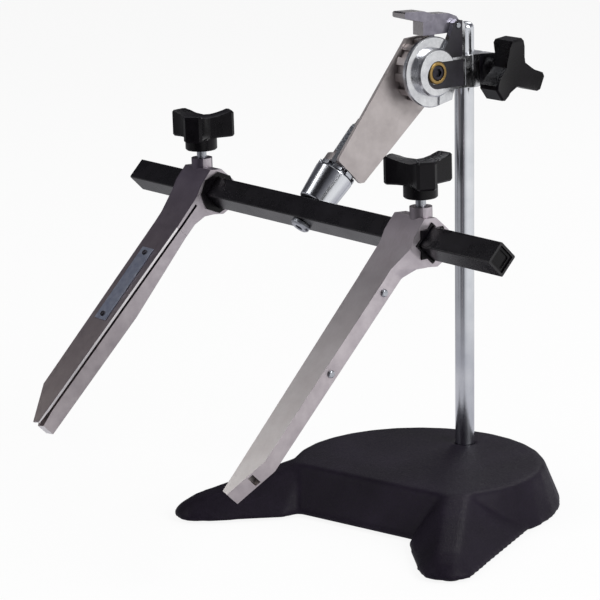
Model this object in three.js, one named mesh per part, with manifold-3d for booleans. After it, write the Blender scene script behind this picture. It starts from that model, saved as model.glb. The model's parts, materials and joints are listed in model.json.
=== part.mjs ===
// Circuit board holder: a heavy cast base, an upright post, a clamp head that slides and turns on it,
// a tilting boom, and a square crossbar with two grooved arms that grip a board by its edges.
// Millimetres, +Z up. The base's front is -Y. Pieces are placed from the post's axis, and the whole is then
// set so that the origin is on the table under the middle of the holder as it stands.
import * as THREE from "three";
import { ConvexGeometry } from "three/addons/geometries/ConvexGeometry.js";
import { mergeVertices } from "three/addons/utils/BufferGeometryUtils.js";
import Module from "manifold-3d";

// Clearances
const FIT = 0.3; // between pieces that touch
const RUN = 0.35; // round a shaft that turns

// From the post's foot to the middle of the whole holder
const MIDDLE_X = -56.5;
const MIDDLE_Y = -143.2;

// Base casting
const FOOT_H = 2;
const BASE_TOP = 38;
const BASE_WALL = 5;
const DECK_R = 103;
const DECK_CENTRE_Y = -65;
const DECK_FRONT_Y = -131;
const BASE_FLARE = 13;
const FRONT_FLARE = 18.5;
const BASE_LIP = 3;
const DECK_EDGE = 2.2;
const LEG_TIP_X = 131;
const LEG_TIP_Y = -207;
const LEG_TIP_H = 12.5;
const LEG_ROOT_X = 79;
const LEG_ROOT_Y = -123;
const RIDGE_HALF = 9.5;
const PAD_R = 9;
const PAD_SINK = 1.8;
const POST_BOSS_R = 17;

// Post
const POST_D = 15.875;
const POST_TOP = 390.2;
const POST_DOME = 5;
const POST_SOCKET = 18;
const SPIGOT_D = 12;
const POST_BOSS_END = 15.8;
const NUT_H = 8;
const WASHER_H = 1.6;

// How the head stands on the post and the boom on the head
const HEAD_SWIVEL = -13; // degrees about the post, from the base's own front
const TILT = 46; // degrees that the boom points below level
const PIVOT_Y = -40.5;
const PIVOT_Z = 354.2;
const BOOM_X = -25; // the boom's centre beside the post

// Clamp head
const CLAMP_BOTTOM = 338.5;
const CLAMP_TOP = 365.2;
const CLAMP_R = 14;
const RELIEF_X = -7.6; // the clamp's corner is cut back here so that the boom can swing past
const RELIEF_Y = -8.8;
const EAR_END_Y = 29;
const EAR_HALF = 13;
const EAR_SLOT = 2.5;
const STUD_Y = 17.6;
const PLATE_FROM = 8.4;
const PLATE_TO = 13.4;
const DISC_R = 28.5;
const DISC_FROM = 4;
const BOSS_R = 19.6;
const BOSS_TO = 14.5;
const BRACKET_W = 4.6;
const BAND_RIM = 2.6; // the rims above and below the dark recess in the clamp's side
const BAND_DEPTH = 1.6;

// Pivot and tilt lock
const BOLT_D = 9.5;
const BUSH_R = 7.2;
const BUSH_FLANGE_R = 9.2;
const BUSH_FLANGE_H = 3;
const BOLT_HEAD_R = 6;
const DRUM_R = 26;
const DRUM_FROM = -8.2;
const DRUM_TO = 3.6;
const LOCK_COUNT = 6;
const LOCK_STEP = 30;
const NOTCH_W = 6.4;
const NOTCH_DEPTH = 3;
const LEVER_FROM = -6;
const LEVER_TO = 6.5;
const LEVER_PIN_Y = -16.5;
const LEVER_PIN_R = 2.2;
const LEVER_BOTTOM = PIVOT_Z + DRUM_R + 3.6;
const LEVER_TOP = LEVER_BOTTOM + 15.8;
const LEVER_PIN_Z = LEVER_BOTTOM + 6;
const BRACKET_TOP = LEVER_PIN_Z + 4.7;
const LEVER_FRONT_Y = -49;
const TAB_END_Y = -69;
const TAB_H = 5;
const TAB_SPREAD = 1.4;
const TOOTH_Y = -37;
const BRACKET_FROM = LEVER_TO + 0.4;
const BRACKET_TO = BRACKET_FROM + BRACKET_W;

// Boom, measured along its own length from the pivot
const BOOM_HEAD_R = 27.4;
const BOOM_FACE = 16.5; // its flat face beside the drum
const BOOM_BACK = 1;
const BOOM_PLATE_T = 3;
const BOOM_HUB_R = 11;
const BOOM_HORN = 7; // how far the top edge runs on past the round head
const BOOM_END = 104;
const BOOM_END_HALF = 17;
const BOOM_REACH = 147.3; // pivot to the crossbar's centre
const SHAFT_BORE_R = 8.4;
const SHAFT_BORE_TO = 68;
const BARREL_R = 10.8;
const COLLAR_R = 14.2;
const COLLAR_L = 8;
const INDEX_R = 16.2;
const INDEX_H = 3.4;
const INDEX_COUNT = 8;
const SLEEVE_TOP_R = 16.4;
const SLEEVE_END_R = 14.2;
const LATCH_ANGLE = 26; // from the top of the barrel towards the boom's face
const LATCH_FROM = 68;
const LATCH_TO = 94;
const LATCH_W = 8.4;
const LATCH_H = 2.6;
const LATCH_SEAT = 11.8;
const KEY_W = 3.6;
const NOSE_W = 4.4;
const LATCH_TRAVEL = 5;
const LATCH_RIBS = 7;

// Crossbar
const BAR_SIDE = 19.05;
const BAR_WALL = 2;
const BAR_ROUND = 1.2;
const BAR_HALF = 228.6;
const PLUG_DEPTH = 13;
const PLUG_RECESS = 1.4;

// Arms, measured from the crossbar's centre
const ARM_LEFT_X = -137.3;
const ARM_RIGHT_X = 132;
const ARM_TOP = 13.6;
const ARM_BOTTOM = 0.6;
const ARM_LEFT_OUTER = 15;
const ARM_RIGHT_OUTER = 12;
const ARM_INNER_HEAD = 16.8;
const ARM_INNER_TIP = 10.6;
const ARM_HEAD_Y = -38;
const ARM_TIP_Y = -243;
const TIP_CUT_Y = -211;
const TIP_NOSE = 3.8;
const HEAD_OUTER = 18.5;
const SLOT_Z = 7; // the height of the board's middle over the bar's centre
const SLOT_W = 5.2;
const SLOT_DEPTH = 5;
const SLOT_END_Y = -21;
const RAIL_Z = 9.4;
const RAIL_BACK_U = 0; // the rail's back, from the arm's centre
const RAIL_TRAVEL = 6;
const RAIL_FROM_TIP = 16;
const PIN_R = 2;
const PIN_SINK = 3.4;
const PIN_HEAD_R = 3;
const PIN_HEAD_H = 1.6;
const PIN_Y = [-53, -127.5];
const LINER_T = 1.3;
const LINER_RIM = 1.5;
const LINER_FLANGE_R = 17.4;
const PLATE_LENGTH = 72;
const PLATE_WIDTH = 15;
const PLATE_Y = -107;
const PLATE_H = 0.7;
const RIVET_STEP = 62;

// Three-lobed knobs, measured along their own axis
const KNOB_R = 27.2;
const KNOB_WAIST = 11.5;
const KNOB_LOBE_HALF = 7.9;
const KNOB_LOBE_H = 21.4;
const KNOB_HUB_R = 13.2;
const KNOB_HUB_H = 9.8;
const KNOB_DISH_R = 62;
const KNOB_BORE = 14;
const STUD_R = 4;
const KNOB_LEAN = 45; // degrees between an arm's knob and the arm's face
const KNOB_LEFT_OUT = 4; // from the middle of the left arm to its knob, away from the other arm
const KNOB_RIGHT_OUT = 6.3;
const BOSS_D = 17.4;
const KNOB_BOSS_TOP = 26.6;
const KNOB_SEAT = 33.4;

const wasm = await Module();
wasm.setup();

const FINISH = {
  base: { color: 0x241f2b, roughness: 0.75, metalness: 0.1 },
  rubber: { color: 0x151515, roughness: 0.9, metalness: 0 },
  chrome: { color: 0xd6d8dc, roughness: 0.12, metalness: 1 },
  steel: { color: 0x9a9ca0, roughness: 0.35, metalness: 1 },
  polished: { color: 0xc9cacf, roughness: 0.2, metalness: 1 },
  cast: { color: 0xb8b4b2, roughness: 0.5, metalness: 0.9 },
  brass: { color: 0xb48a4a, roughness: 0.3, metalness: 1 },
  dark: { color: 0x3a3840, roughness: 0.4, metalness: 0.8 },
  knob: { color: 0x121114, roughness: 0.4, metalness: 0 },
  bar: { color: 0x17151a, roughness: 0.35, metalness: 0.2 },
  plate: { color: 0xc4c4c8, roughness: 0.3, metalness: 0.9 },
};

const AXES = {
  x: [new THREE.Vector3(0, 1, 0), new THREE.Vector3(0, 0, 1), new THREE.Vector3(1, 0, 0)],
  y: [new THREE.Vector3(1, 0, 0), new THREE.Vector3(0, 0, 1), new THREE.Vector3(0, -1, 0)],
  z: [new THREE.Vector3(1, 0, 0), new THREE.Vector3(0, 1, 0), new THREE.Vector3(0, 0, 1)],
};

// A three.js geometry as a manifold-3d solid, facing outwards.
function solid(geometry, matrix = new THREE.Matrix4()) {
  const bare = new THREE.BufferGeometry();
  const source = geometry.index ? geometry.toNonIndexed() : geometry;
  bare.setAttribute("position", source.getAttribute("position").clone());
  bare.applyMatrix4(matrix);
  const merged = mergeVertices(bare, 1e-4);
  const corners = Array.from(merged.index.array);
  const kept = [];
  for (let i = 0; i < corners.length; i += 3) {
    const [a, b, c] = corners.slice(i, i + 3);
    if (a !== b && b !== c && c !== a) kept.push(a, b, c);
  }
  const build = (triangles) =>
    new wasm.Manifold(
      new wasm.Mesh({
        numProp: 3,
        vertProperties: merged.attributes.position.array,
        triVerts: new Uint32Array(triangles),
      }),
    );
  const made = build(kept);
  if (made.volume() >= 0) return made;
  const turned = [];
  for (let i = 0; i < kept.length; i += 3) turned.push(kept[i], kept[i + 2], kept[i + 1]);
  return build(turned);
}

// A polygon pushed along an axis. Points are (y, z) for x, (x, z) for y and (x, y) for z.
function prism(points, axis, from, to) {
  const shape = new THREE.Shape(points.map(([a, b]) => new THREE.Vector2(a, b)));
  const geometry = new THREE.ExtrudeGeometry(shape, { depth: to - from, bevelEnabled: false });
  const matrix = new THREE.Matrix4().makeBasis(...AXES[axis]);
  const start = { x: [from, 0, 0], y: [0, to, 0], z: [0, 0, from] }[axis];
  matrix.setPosition(...start);
  return solid(geometry, matrix);
}

// A profile of (radius, height) pairs turned about an axis through a point.
function turn(profile, axis, centre, sides = 32) {
  const points = profile.map(([r, h]) => new THREE.Vector2(r, h));
  const geometry = new THREE.LatheGeometry(points, sides);
  const lay = {
    x: [new THREE.Vector3(0, 0, 1), new THREE.Vector3(1, 0, 0), new THREE.Vector3(0, 1, 0)],
    y: [new THREE.Vector3(1, 0, 0), new THREE.Vector3(0, 1, 0), new THREE.Vector3(0, 0, 1)],
    z: [new THREE.Vector3(0, 1, 0), new THREE.Vector3(0, 0, 1), new THREE.Vector3(1, 0, 0)],
  }[axis];
  return solid(geometry, new THREE.Matrix4().makeBasis(...lay).setPosition(...centre));
}

function rod(radius, axis, from, to, centre, sides = 32) {
  return turn([[0, from], [radius, from], [radius, to], [0, to]], axis, centre, sides);
}

function tube(inner, outer, axis, from, to, centre, sides = 32) {
  const ring = [[inner, from], [outer, from], [outer, to], [inner, to], [inner, from]];
  return turn(ring, axis, centre, sides);
}

function block(x0, x1, y0, y1, z0, z1) {
  const geometry = new THREE.BoxGeometry(x1 - x0, y1 - y0, z1 - z0);
  const middle = new THREE.Matrix4().makeTranslation((x0 + x1) / 2, (y0 + y1) / 2, (z0 + z1) / 2);
  return solid(geometry, middle);
}

function hull(points) {
  return solid(new ConvexGeometry(points.map((p) => new THREE.Vector3(...p))));
}

function hexagon(acrossFlats, axis, from, to, centre) {
  return rod(acrossFlats / Math.sqrt(3), axis, from, to, centre, 6);
}

function join(...parts) {
  return parts.reduce((sum, part) => sum.add(part));
}

function cut(body, ...tools) {
  return tools.reduce((rest, tool) => rest.subtract(tool), body);
}

function moved(body, x, y, z) {
  return body.translate([x, y, z]);
}

function mesh(name, body, finish) {
  const made = body.getMesh();
  const geometry = new THREE.BufferGeometry();
  geometry.setAttribute("position", new THREE.BufferAttribute(made.vertProperties, 3));
  geometry.setIndex(new THREE.BufferAttribute(made.triVerts, 1));
  geometry.computeVertexNormals();
  const piece = new THREE.Mesh(geometry, new THREE.MeshStandardMaterial(FINISH[finish]));
  piece.name = name;
  return piece;
}

const radians = THREE.MathUtils.degToRad;

// Base

// The deck's outline: a round back that a straight front cuts off, at one height.
function deckOutline(radius, frontY, z) {
  const reach = Math.asin((frontY - DECK_CENTRE_Y) / radius);
  const steps = 22;
  const sweep = Math.PI - 2 * reach;
  return Array.from({ length: steps + 1 }, (_, i) => {
    const angle = reach + (sweep * i) / steps;
    return [radius * Math.cos(angle), DECK_CENTRE_Y + radius * Math.sin(angle), z];
  });
}

function deckBody(inset, bottom, top) {
  const foot = DECK_R + BASE_FLARE - inset;
  const footFront = DECK_FRONT_Y - FRONT_FLARE + inset;
  return hull([
    ...deckOutline(foot, footFront, bottom),
    ...deckOutline(foot, footFront, FOOT_H + BASE_LIP),
    ...deckOutline(DECK_R + 0.4 - inset, DECK_FRONT_Y - 0.4 + inset, top - DECK_EDGE),
    ...deckOutline(DECK_R - DECK_EDGE - inset, DECK_FRONT_Y + DECK_EDGE + inset, top),
  ]);
}

// One leg, for the side +1 or -1: a sloping ridge with walls that spread to the leg's foot.
function legBody(side) {
  const run = new THREE.Vector2(LEG_TIP_X - LEG_ROOT_X, LEG_TIP_Y - LEG_ROOT_Y).normalize();
  const ridge = (share, half, z) => {
    const x = LEG_ROOT_X + (LEG_TIP_X - LEG_ROOT_X) * share;
    const y = LEG_ROOT_Y + (LEG_TIP_Y - LEG_ROOT_Y) * share;
    return [[x - run.y * half, y + run.x * half, z], [x + run.y * half, y - run.x * half, z]];
  };
  const foot = [[112, -62], [146, -196], [143, -205], [137, -212], [127, -216.5], [118, -217],
    [103, -206], [62, -162], [50, -120]];
  const points = [
    ...foot.map(([x, y]) => [x, y, FOOT_H]),
    ...foot.map(([x, y]) => [x, y, FOOT_H + BASE_LIP]),
    ...ridge(0, RIDGE_HALF, BASE_TOP),
    ...ridge(0.85, RIDGE_HALF - 1, 18.5),
    ...ridge(1, RIDGE_HALF - 3.5, LEG_TIP_H),
    [70, -90, BASE_TOP - DECK_EDGE],
  ];
  return hull(points.map(([x, y, z]) => [side * x, y, z]));
}

function legHollow(side) {
  const foot = [[98, -72], [118, -168], [111, -176], [100, -176], [78, -152], [58, -112]];
  const crown = [[84, -100, 30], [84, -128, 28], [104, -166, 17]];
  const points = [...foot.map(([x, y]) => [x, y, FOOT_H - 1]), ...crown];
  return hull(points.map(([x, y, z]) => [side * x, y, z]));
}

const PAD_PLACES = [[129, -199], [-129, -199], [62, 6], [-62, 6]];

function baseCasting() {
  const shell = join(deckBody(0, FOOT_H, BASE_TOP), legBody(1), legBody(-1));
  const hollow = join(deckBody(BASE_WALL, FOOT_H - 1, BASE_TOP - BASE_WALL), legHollow(1), legHollow(-1));
  const seats = PAD_PLACES.slice(2).map(([x, y]) =>
    rod(PAD_R + 4, "z", FOOT_H, BASE_TOP - 2, [x, y, 0], 24).intersect(shell));
  const boss = rod(POST_BOSS_R, "z", POST_BOSS_END, BASE_TOP - 2, [0, 0, 0]);
  const pockets = PAD_PLACES.map(([x, y]) =>
    rod(PAD_R + FIT, "z", FOOT_H - 1, FOOT_H + PAD_SINK + FIT, [x, y, 0], 24));
  const socket = rod(POST_D / 2 + FIT, "z", BASE_TOP - POST_SOCKET, BASE_TOP + 1, [0, 0, 0]);
  const spigotHole = rod(SPIGOT_D / 2 + FIT, "z", 0, BASE_TOP, [0, 0, 0]);
  return cut(join(cut(shell, hollow), boss, ...seats), ...pockets, socket, spigotHole);
}

function addBase(root) {
  root.add(mesh("base_casting", baseCasting(), "base"));
  PAD_PLACES.forEach(([x, y], i) => {
    const pad = turn([[0, 0], [PAD_R - 1, 0], [PAD_R, 1], [PAD_R, FOOT_H + PAD_SINK],
      [0, FOOT_H + PAD_SINK]],
      "z", [x, y, 0], 24);
    root.add(mesh("foot_pad_" + (i + 1), pad, "rubber"));
  });
}

// Post

function postShaft() {
  const r = POST_D / 2;
  const shoulder = BASE_TOP - POST_SOCKET + FIT;
  const dome = Array.from({ length: 5 }, (_, i) => {
    const angle = ((Math.PI / 2) * i) / 4;
    return [r - POST_DOME + POST_DOME * Math.cos(angle),
      POST_TOP - POST_DOME + POST_DOME * Math.sin(angle)];
  });
  const end = FOOT_H + 2;
  const profile = [[0, end], [SPIGOT_D / 2 - 1, end], [SPIGOT_D / 2, end + 1], [SPIGOT_D / 2, shoulder],
    [r, shoulder], ...dome, [0, POST_TOP]];
  return turn(profile, "z", [0, 0, 0], 36);
}

function addPost(root) {
  const washerTop = POST_BOSS_END - FIT;
  const washer = tube(SPIGOT_D / 2 + FIT, POST_BOSS_R - 3, "z", washerTop - WASHER_H, washerTop, [0, 0,
    0], 24);
  const nutTop = washerTop - WASHER_H - FIT;
  const bore = rod(SPIGOT_D / 2 + FIT, "z", 0, BASE_TOP, [0, 0, 0], 24);
  const nut = cut(hexagon(19, "z", nutTop - NUT_H, nutTop, [0, 0, 0]), bore);
  root.add(mesh("post", postShaft(), "chrome"));
  root.add(mesh("post_washer", washer, "steel"));
  root.add(mesh("post_nut", nut, "steel"));
}

// Clamp head

function clampCasting() {
  const pivot = [0, PIVOT_Y, PIVOT_Z];
  const middle = (CLAMP_BOTTOM + CLAMP_TOP) / 2;
  const half = (CLAMP_TOP - CLAMP_BOTTOM) / 2;
  const ring = rod(CLAMP_R, "z", CLAMP_BOTTOM, CLAMP_TOP, [0, 0, 0]);
  const ears = prism([[0, CLAMP_BOTTOM], [EAR_END_Y - 8, CLAMP_BOTTOM + 1],
    [EAR_END_Y - 2, CLAMP_BOTTOM + 4],
    [EAR_END_Y, middle], [EAR_END_Y - 2, CLAMP_TOP - 4], [EAR_END_Y - 8, CLAMP_TOP - 1], [0, CLAMP_TOP]],
  "x", -EAR_HALF, EAR_HALF);
  const disc = turn([[0, DISC_FROM], [DISC_R - 0.8, DISC_FROM], [DISC_R, DISC_FROM + 0.8],
    [DISC_R, PLATE_FROM - 0.8], [DISC_R - 0.8, PLATE_FROM], [0, PLATE_FROM]], "x", pivot, 48);
  const boss = turn([[0, DISC_FROM], [BOSS_R, DISC_FROM], [BOSS_R, BOSS_TO - 1.5], [BOSS_R - 1.5, BOSS_TO],
    [0, BOSS_TO]], "x", pivot, 36);
  const plate = block(DISC_FROM, PLATE_TO, PIVOT_Y, 0, middle - half + 0.6, middle + half - 0.6);
  const bracketRear = LEVER_PIN_Y + 7.5;
  const bracket = prism([[PIVOT_Y - 3.5, PIVOT_Z], [bracketRear, PIVOT_Z], [bracketRear, BRACKET_TOP - 5],
    [bracketRear - 3, BRACKET_TOP - 1], [LEVER_PIN_Y - 0.5, BRACKET_TOP],
    [LEVER_PIN_Y - 5, BRACKET_TOP - 2.5],
    [LEVER_PIN_Y - 6.5, BRACKET_TOP - 8], [LEVER_PIN_Y - 10.5, LEVER_BOTTOM - 5.8]],
    "x", BRACKET_FROM, BRACKET_TO);
  const heel = [[6.5, -8], [21.5, -16], [19, -24], [5.5, -27]].map(([y, z]) => [PIVOT_Y + y, PIVOT_Z + z]);
  const foot = prism(heel, "x", DISC_FROM + 0.6, PLATE_FROM + 1.4);
  const body = join(ring, ears, disc, boss, plate, bracket, foot);
  const bore = rod(POST_D / 2 + FIT, "z", 0, POST_TOP + 20, [0, 0, 0], 32);
  const slot = block(-EAR_SLOT / 2, EAR_SLOT / 2, 0, EAR_END_Y + 1, CLAMP_BOTTOM - 1, CLAMP_TOP + 1);
  const bushHole = rod(BUSH_R + FIT, "x", DISC_FROM - 1, BOSS_TO + 1, pivot);
  const flangeHole = rod(BUSH_FLANGE_R + FIT, "x", BOSS_TO - BUSH_FLANGE_H + 0.4, BOSS_TO + 1, pivot);
  const studHole = rod(STUD_R + RUN, "x", -EAR_HALF - 1, EAR_HALF + 1, [0, STUD_Y, middle], 32);
  const pinHole = rod(LEVER_PIN_R + FIT, "x", BRACKET_FROM - 1, BRACKET_TO + 1, [0, LEVER_PIN_Y,
    LEVER_PIN_Z], 24);
  const relief = block(-CLAMP_R - 1, RELIEF_X, -CLAMP_R - 1, RELIEF_Y, CLAMP_BOTTOM - 1, CLAMP_TOP + 1);
  const recessHalf = half - BAND_RIM;
  const sideRecess = hull([BOSS_TO - BAND_DEPTH, BOSS_TO + 1].flatMap((x) => [
    ...Array.from({ length: 17 }, (_, i) => {
      const angle = Math.PI / 2 + (Math.PI * i) / 16;
      return [x, PIVOT_Y + recessHalf * Math.cos(angle), middle + recessHalf * Math.sin(angle)];
    }),
    [x, 4 - CLAMP_R, middle - recessHalf],
    [x, 4 - CLAMP_R, middle + recessHalf],
  ]));
  const earRecess = block(EAR_HALF - BAND_DEPTH, EAR_HALF + 1, CLAMP_R - 5, EAR_END_Y - 3,
    middle - recessHalf + 2, middle + recessHalf - 2);
  return cut(body, bore, slot, bushHole, flangeHole, studHole, pinHole, relief, sideRecess, earRecess);
}

function pivotBushing() {
  const bore = BOLT_D / 2 + FIT;
  const face = BOSS_TO + 0.6;
  const step = BOSS_TO - BUSH_FLANGE_H + 0.4 + FIT;
  const seat = BOLT_HEAD_R + FIT;
  const profile = [[bore, DRUM_FROM + 1], [BUSH_R, DRUM_FROM + 1], [BUSH_R, step], [BUSH_FLANGE_R, step],
    [BUSH_FLANGE_R, face - 0.8], [BUSH_FLANGE_R - 0.8, face], [seat, face], [seat, step + 0.6],
    [bore, step + 0.6],
    [bore, DRUM_FROM + 1]];
  return turn(profile, "x", [0, PIVOT_Y, PIVOT_Z], 32);
}

function pivotBolt() {
  const pivot = [0, PIVOT_Y, PIVOT_Z];
  const seat = BOSS_TO - BUSH_FLANGE_H + 1 + 2 * FIT;
  const head = turn([[0, seat], [BOLT_HEAD_R, seat], [BOLT_HEAD_R, BOSS_TO - 0.2],
    [BOLT_HEAD_R - 0.6, BOSS_TO + 0.4],
    [0, BOSS_TO + 0.4]], "x", pivot, 28);
  const shank = rod(BOLT_D / 2, "x", BOOM_X + BOOM_BACK - 10.5, seat + 0.5, pivot, 28);
  const socket = hexagon(6, "x", BOSS_TO - 1.8, BOSS_TO + 2, pivot);
  return cut(join(head, shank), socket);
}

function clampStudAxis() {
  return [0, STUD_Y, (CLAMP_BOTTOM + CLAMP_TOP) / 2];
}

function addClamp(head) {
  const pivot = [0, PIVOT_Y, PIVOT_Z];
  const outer = BOOM_X + BOOM_BACK - FIT;
  const bore = rod(BOLT_D / 2 + FIT, "x", outer - 20, outer + 1, pivot, 24);
  const washer = cut(rod(10, "x", outer - WASHER_H, outer, pivot, 24), bore);
  const nutFrom = outer - WASHER_H - FIT;
  const nut = cut(hexagon(15, "x", nutFrom - NUT_H + 1, nutFrom, pivot), bore);
  const stud = clampStudAxis();
  const earNut = cut(hexagon(14, "x", -EAR_HALF - FIT - 6, -EAR_HALF - FIT, stud),
    rod(STUD_R + FIT, "x", -40, 0, stud, 20));
  const pin = rod(LEVER_PIN_R, "x", LEVER_FROM, BRACKET_TO + 0.8, [0, LEVER_PIN_Y, LEVER_PIN_Z], 20);
  head.add(mesh("clamp_casting", clampCasting(), "polished"));
  head.add(mesh("pivot_bushing", pivotBushing(), "brass"));
  head.add(mesh("pivot_bolt", pivotBolt(), "dark"));
  head.add(mesh("pivot_washer", washer, "steel"));
  head.add(mesh("pivot_nut", nut, "steel"));
  head.add(mesh("clamp_nut", earNut, "steel"));
  head.add(mesh("lever_pin", pin, "steel"));
}

// The lock lever: a block over the drum with a tooth below, a thumb tab in front and a pin behind.
function tiltLever() {
  const bottom = LEVER_BOTTOM;
  const blockShape = [[LEVER_FRONT_Y, bottom], [-13.5, bottom], [-10.6, bottom + 3], [-10.6, LEVER_TOP - 7],
    [-14, LEVER_TOP - 3], [-22, LEVER_TOP], [LEVER_FRONT_Y + 2, LEVER_TOP + 1.2],
    [LEVER_FRONT_Y, LEVER_TOP]];
  const body = prism(blockShape, "x", LEVER_FROM, LEVER_TO);
  const tabTop = LEVER_TOP + 4.6;
  const tab = prism([[TAB_END_Y, tabTop - TAB_H + 1], [TAB_END_Y + 1.5, tabTop - TAB_H],
    [LEVER_FRONT_Y, LEVER_TOP - 5],
    [LEVER_FRONT_Y + 9, LEVER_TOP - 4], [LEVER_FRONT_Y + 9, LEVER_TOP + 1], [LEVER_FRONT_Y, tabTop - 0.6],
    [TAB_END_Y + 1.5, tabTop], [TAB_END_Y, tabTop - 1]], "x", LEVER_FROM - TAB_SPREAD,
    LEVER_TO + TAB_SPREAD);
  const tip = PIVOT_Z + DRUM_R + FIT;
  const tooth = prism([[TOOTH_Y - 2.6, tip], [TOOTH_Y + 2.6, tip], [TOOTH_Y + 3, bottom + 1],
    [TOOTH_Y - 3, bottom + 1]], "x", LEVER_FROM + 0.8, DISC_FROM - 0.9);
  const pinHole = rod(LEVER_PIN_R + RUN, "x", LEVER_FROM - 1, LEVER_TO + 1, [0, LEVER_PIN_Y,
    LEVER_PIN_Z], 24);
  return cut(join(body, tab, tooth), pinHole);
}

// Knobs: three lobes over a round hub, on an axis +Z from the hub's seat, with a dished top.
function knobBody() {
  const lobe = [[KNOB_R - 2.5, -KNOB_LOBE_HALF], [KNOB_R, 2.2 - KNOB_LOBE_HALF],
    [KNOB_R, KNOB_LOBE_HALF - 2.2],
    [KNOB_R - 2.5, KNOB_LOBE_HALF], [KNOB_WAIST + 5, KNOB_LOBE_HALF - 0.4],
    [KNOB_WAIST / 2, KNOB_WAIST * 0.87]];
  const lobes = [0, 120, 240].flatMap((turned) =>
    lobe.map(([x, y]) => new THREE.Vector2(x, y).rotateAround(new THREE.Vector2(), radians(turned))));
  const star = new THREE.ExtrudeGeometry(new THREE.Shape(lobes), {
    depth: KNOB_LOBE_H - 3, bevelEnabled: true, bevelThickness: 1.5, bevelSize: 1.2, bevelOffset: -1.2,
    bevelSegments: 1,
  });
  const lift = new THREE.Matrix4().makeTranslation(0, 0, KNOB_HUB_H + 1.5);
  const top = KNOB_HUB_H + KNOB_LOBE_H;
  const hub = turn([[0, 0], [KNOB_HUB_R - 1, 0], [KNOB_HUB_R, 1], [KNOB_HUB_R, KNOB_HUB_H - 1],
    [KNOB_WAIST, KNOB_HUB_H + 3], [KNOB_WAIST - 1, top - 9], [0, top - 9]], "z", [0, 0, 0], 28);
  const sag = KNOB_DISH_R - Math.sqrt(KNOB_DISH_R ** 2 - KNOB_R ** 2);
  const ball = new THREE.SphereGeometry(KNOB_DISH_R, 36, 24);
  const dish = solid(ball, new THREE.Matrix4().makeTranslation(0, 0, top + KNOB_DISH_R - sag + 0.8));
  const bore = rod(STUD_R + FIT, "z", -1, KNOB_BORE, [0, 0, 0], 20);
  return cut(join(solid(star, lift), hub), dish, bore);
}

function studBody(below) {
  const top = KNOB_BORE - FIT;
  return turn([[0, -below], [STUD_R - 1, -below], [STUD_R, 1 - below], [STUD_R, top], [0, top]],
    "z", [0, 0, 0], 20);
}

// A knob and its stud in a group of their own, whose +Z is the knob's axis.
function addKnob(parent, name, place, lay, spin, below) {
  const group = new THREE.Group();
  group.position.set(...place);
  group.quaternion.copy(lay);
  const knob = mesh(name + "_knob", knobBody(), "knob");
  knob.rotation.z = radians(spin);
  group.add(knob);
  group.add(mesh(name + "_stud", studBody(below), "steel"));
  parent.add(group);
}

function addClampKnob(head) {
  const [, y, z] = clampStudAxis();
  const lay = new THREE.Quaternion().setFromUnitVectors(new THREE.Vector3(0, 0, 1), new THREE.Vector3(1,
    0, 0));
  addKnob(head, "clamp", [EAR_HALF + 3.5, y, z], lay, 187, 2 * EAR_HALF + 8);
}

// Boom, in a frame with its origin at the pivot and -Y down the boom

function boomOutline() {
  const steps = 30;
  const lean = Math.asin((BOOM_HEAD_R - BOOM_END_HALF) / BOOM_END);
  const start = lean - Math.PI / 2;
  const end = Math.PI / 4;
  const points = Array.from({ length: steps + 1 }, (_, i) => {
    const angle = start + ((end - start) * i) / steps;
    return [BOOM_HEAD_R * Math.cos(angle), BOOM_HEAD_R * Math.sin(angle)];
  });
  points.push([BOOM_HEAD_R * Math.sin(lean) + BOOM_HORN * Math.cos(lean),
    BOOM_HEAD_R * Math.cos(lean) + BOOM_HORN * Math.sin(lean)]);
  points.push([1.5 - BOOM_END, BOOM_END_HALF], [-BOOM_END, BOOM_END_HALF - 1.5]);
  points.push([-BOOM_END, 3 - BOOM_END_HALF], [3 - BOOM_END, -BOOM_END_HALF]);
  return points;
}

// A piece that lies on top of the barrel, turned to the latch's place round it.
function atLatch(body) {
  return body.rotate([0, LATCH_ANGLE, 0]);
}

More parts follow.
